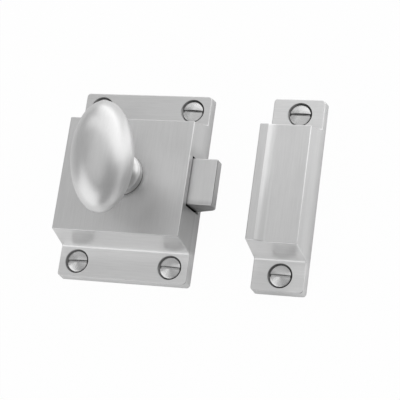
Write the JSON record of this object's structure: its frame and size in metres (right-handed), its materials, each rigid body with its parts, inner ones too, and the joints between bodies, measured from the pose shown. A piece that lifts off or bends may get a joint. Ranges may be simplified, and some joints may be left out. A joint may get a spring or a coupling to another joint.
{
  "type": "cupboard latch",
  "caption": "Surface-mounted cupboard turn latch: an oval knob turns a cam that draws back a sprung bevelled bolt, with a screw-on box keeper.",
  "frame": {"origin": "centre of the case's mounting face, against the door", "axes": "+X from the case towards the keeper, +Y up the door, +Z out of the door towards the hand"},
  "size_m": [0.0823, 0.0636, 0.0591],
  "materials": {
    "satin_nickel": "satin nickel plate with fine brushing, edges soft",
    "knob_nickel": "satin nickel plate, smoother than the case",
    "bolt_nickel": "nickel plate over a machined bolt",
    "screw_nickel": "nickel plate, turned heads",
    "plated_steel": "bright zinc plate",
    "cast_metal": "as cast, greased",
    "spring_steel": "drawn spring wire",
    "dark_steel": "black oxide"
  },
  "bodies": {
    "housing": {"case": "satin_nickel", "back_plate": "plated_steel", "back_plate_screws": "plated_steel", "case_screws": "screw_nickel", "hub_washer": "plated_steel", "bolt_spring": "spring_steel", "keeper": "satin_nickel", "keeper_screws": "screw_nickel"},
    "knob_set": {"knob": "knob_nickel", "spindle": "plated_steel", "cam_hub": "cast_metal", "retaining_clip": "spring_steel", "knob_grub_screw": "dark_steel"},
    "bolt": {"latch_bolt": "bolt_nickel"}
  },
  "joints": [
    {"name": "knob_turn", "type": "hinge", "parent": "housing", "child": "knob_set", "pos_m": [0, 0, 0.014], "axis": [0, 0, 1], "range_deg": [0, 90]},
    {"name": "bolt_slide", "type": "slide", "parent": "housing", "child": "bolt", "axis": [-1, 0, 0], "range_m": [0, 0.0083], "stiffness_N_per_m": 250, "springref_m": -0.008, "deforming": ["bolt_spring"]}
  ],
  "couplings": [
    {"joint": "knob_turn", "follows": "bolt_slide", "rad_per_m": 189.25}
  ]
}
